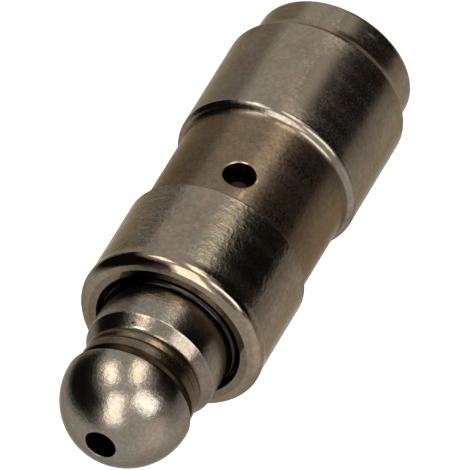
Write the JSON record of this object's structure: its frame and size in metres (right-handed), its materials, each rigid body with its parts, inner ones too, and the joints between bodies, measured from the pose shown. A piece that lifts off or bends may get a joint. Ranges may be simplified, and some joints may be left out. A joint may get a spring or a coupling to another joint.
{
  "type": "hydraulic valve lash adjuster",
  "caption": "Pivot-type hydraulic tappet: a turned steel cup with an oil groove and feed hole, and a spring-loaded piston with a drilled ball head and a check valve inside.",
  "frame": {"origin": "centre of the foot's flat face, on the common axis", "axes": "+Z along the common axis, from the foot to the ball head; -Y towards the oil feed hole"},
  "size_m": [0.0122, 0.0122, 0.0354],
  "materials": {
    "housing_steel": "ground and phosphated, satin, warm dark grey",
    "piston_steel": "hardened and ground, satin, warm dark grey",
    "bearing_steel": "polished",
    "sheet_steel": "drawn, bright",
    "spring_steel": "drawn wire, dark"
  },
  "bodies": {
    "housing": {"housing": "housing_steel", "retaining_ring": "spring_steel", "return_spring": "spring_steel"},
    "lower_piston": {"lower_piston": "piston_steel", "valve_cage": "sheet_steel", "valve_spring": "spring_steel"},
    "ball_head_piston": {"ball_head_piston": "piston_steel"},
    "check_ball": {"check_ball": "bearing_steel"}
  },
  "joints": [
    {"name": "piston_slide", "type": "slide", "parent": "housing", "child": "lower_piston", "axis": [0, 0, 1], "range_m": [-0.0026, 0], "stiffness_N_per_m": 2500, "springref_m": 0.004, "deforming": ["return_spring"]},
    {"name": "ball_head_spin", "type": "hinge", "parent": "lower_piston", "child": "ball_head_piston", "pos_m": [0, 0, 0.03143], "axis": [0, 0, 1], "continuous": true},
    {"name": "check_ball_lift", "type": "slide", "parent": "lower_piston", "child": "check_ball", "axis": [0, 0, 1], "range_m": [-0.00025, 0], "stiffness_N_per_m": 250, "springref_m": 0.001, "deforming": ["valve_spring"]}
  ]
}
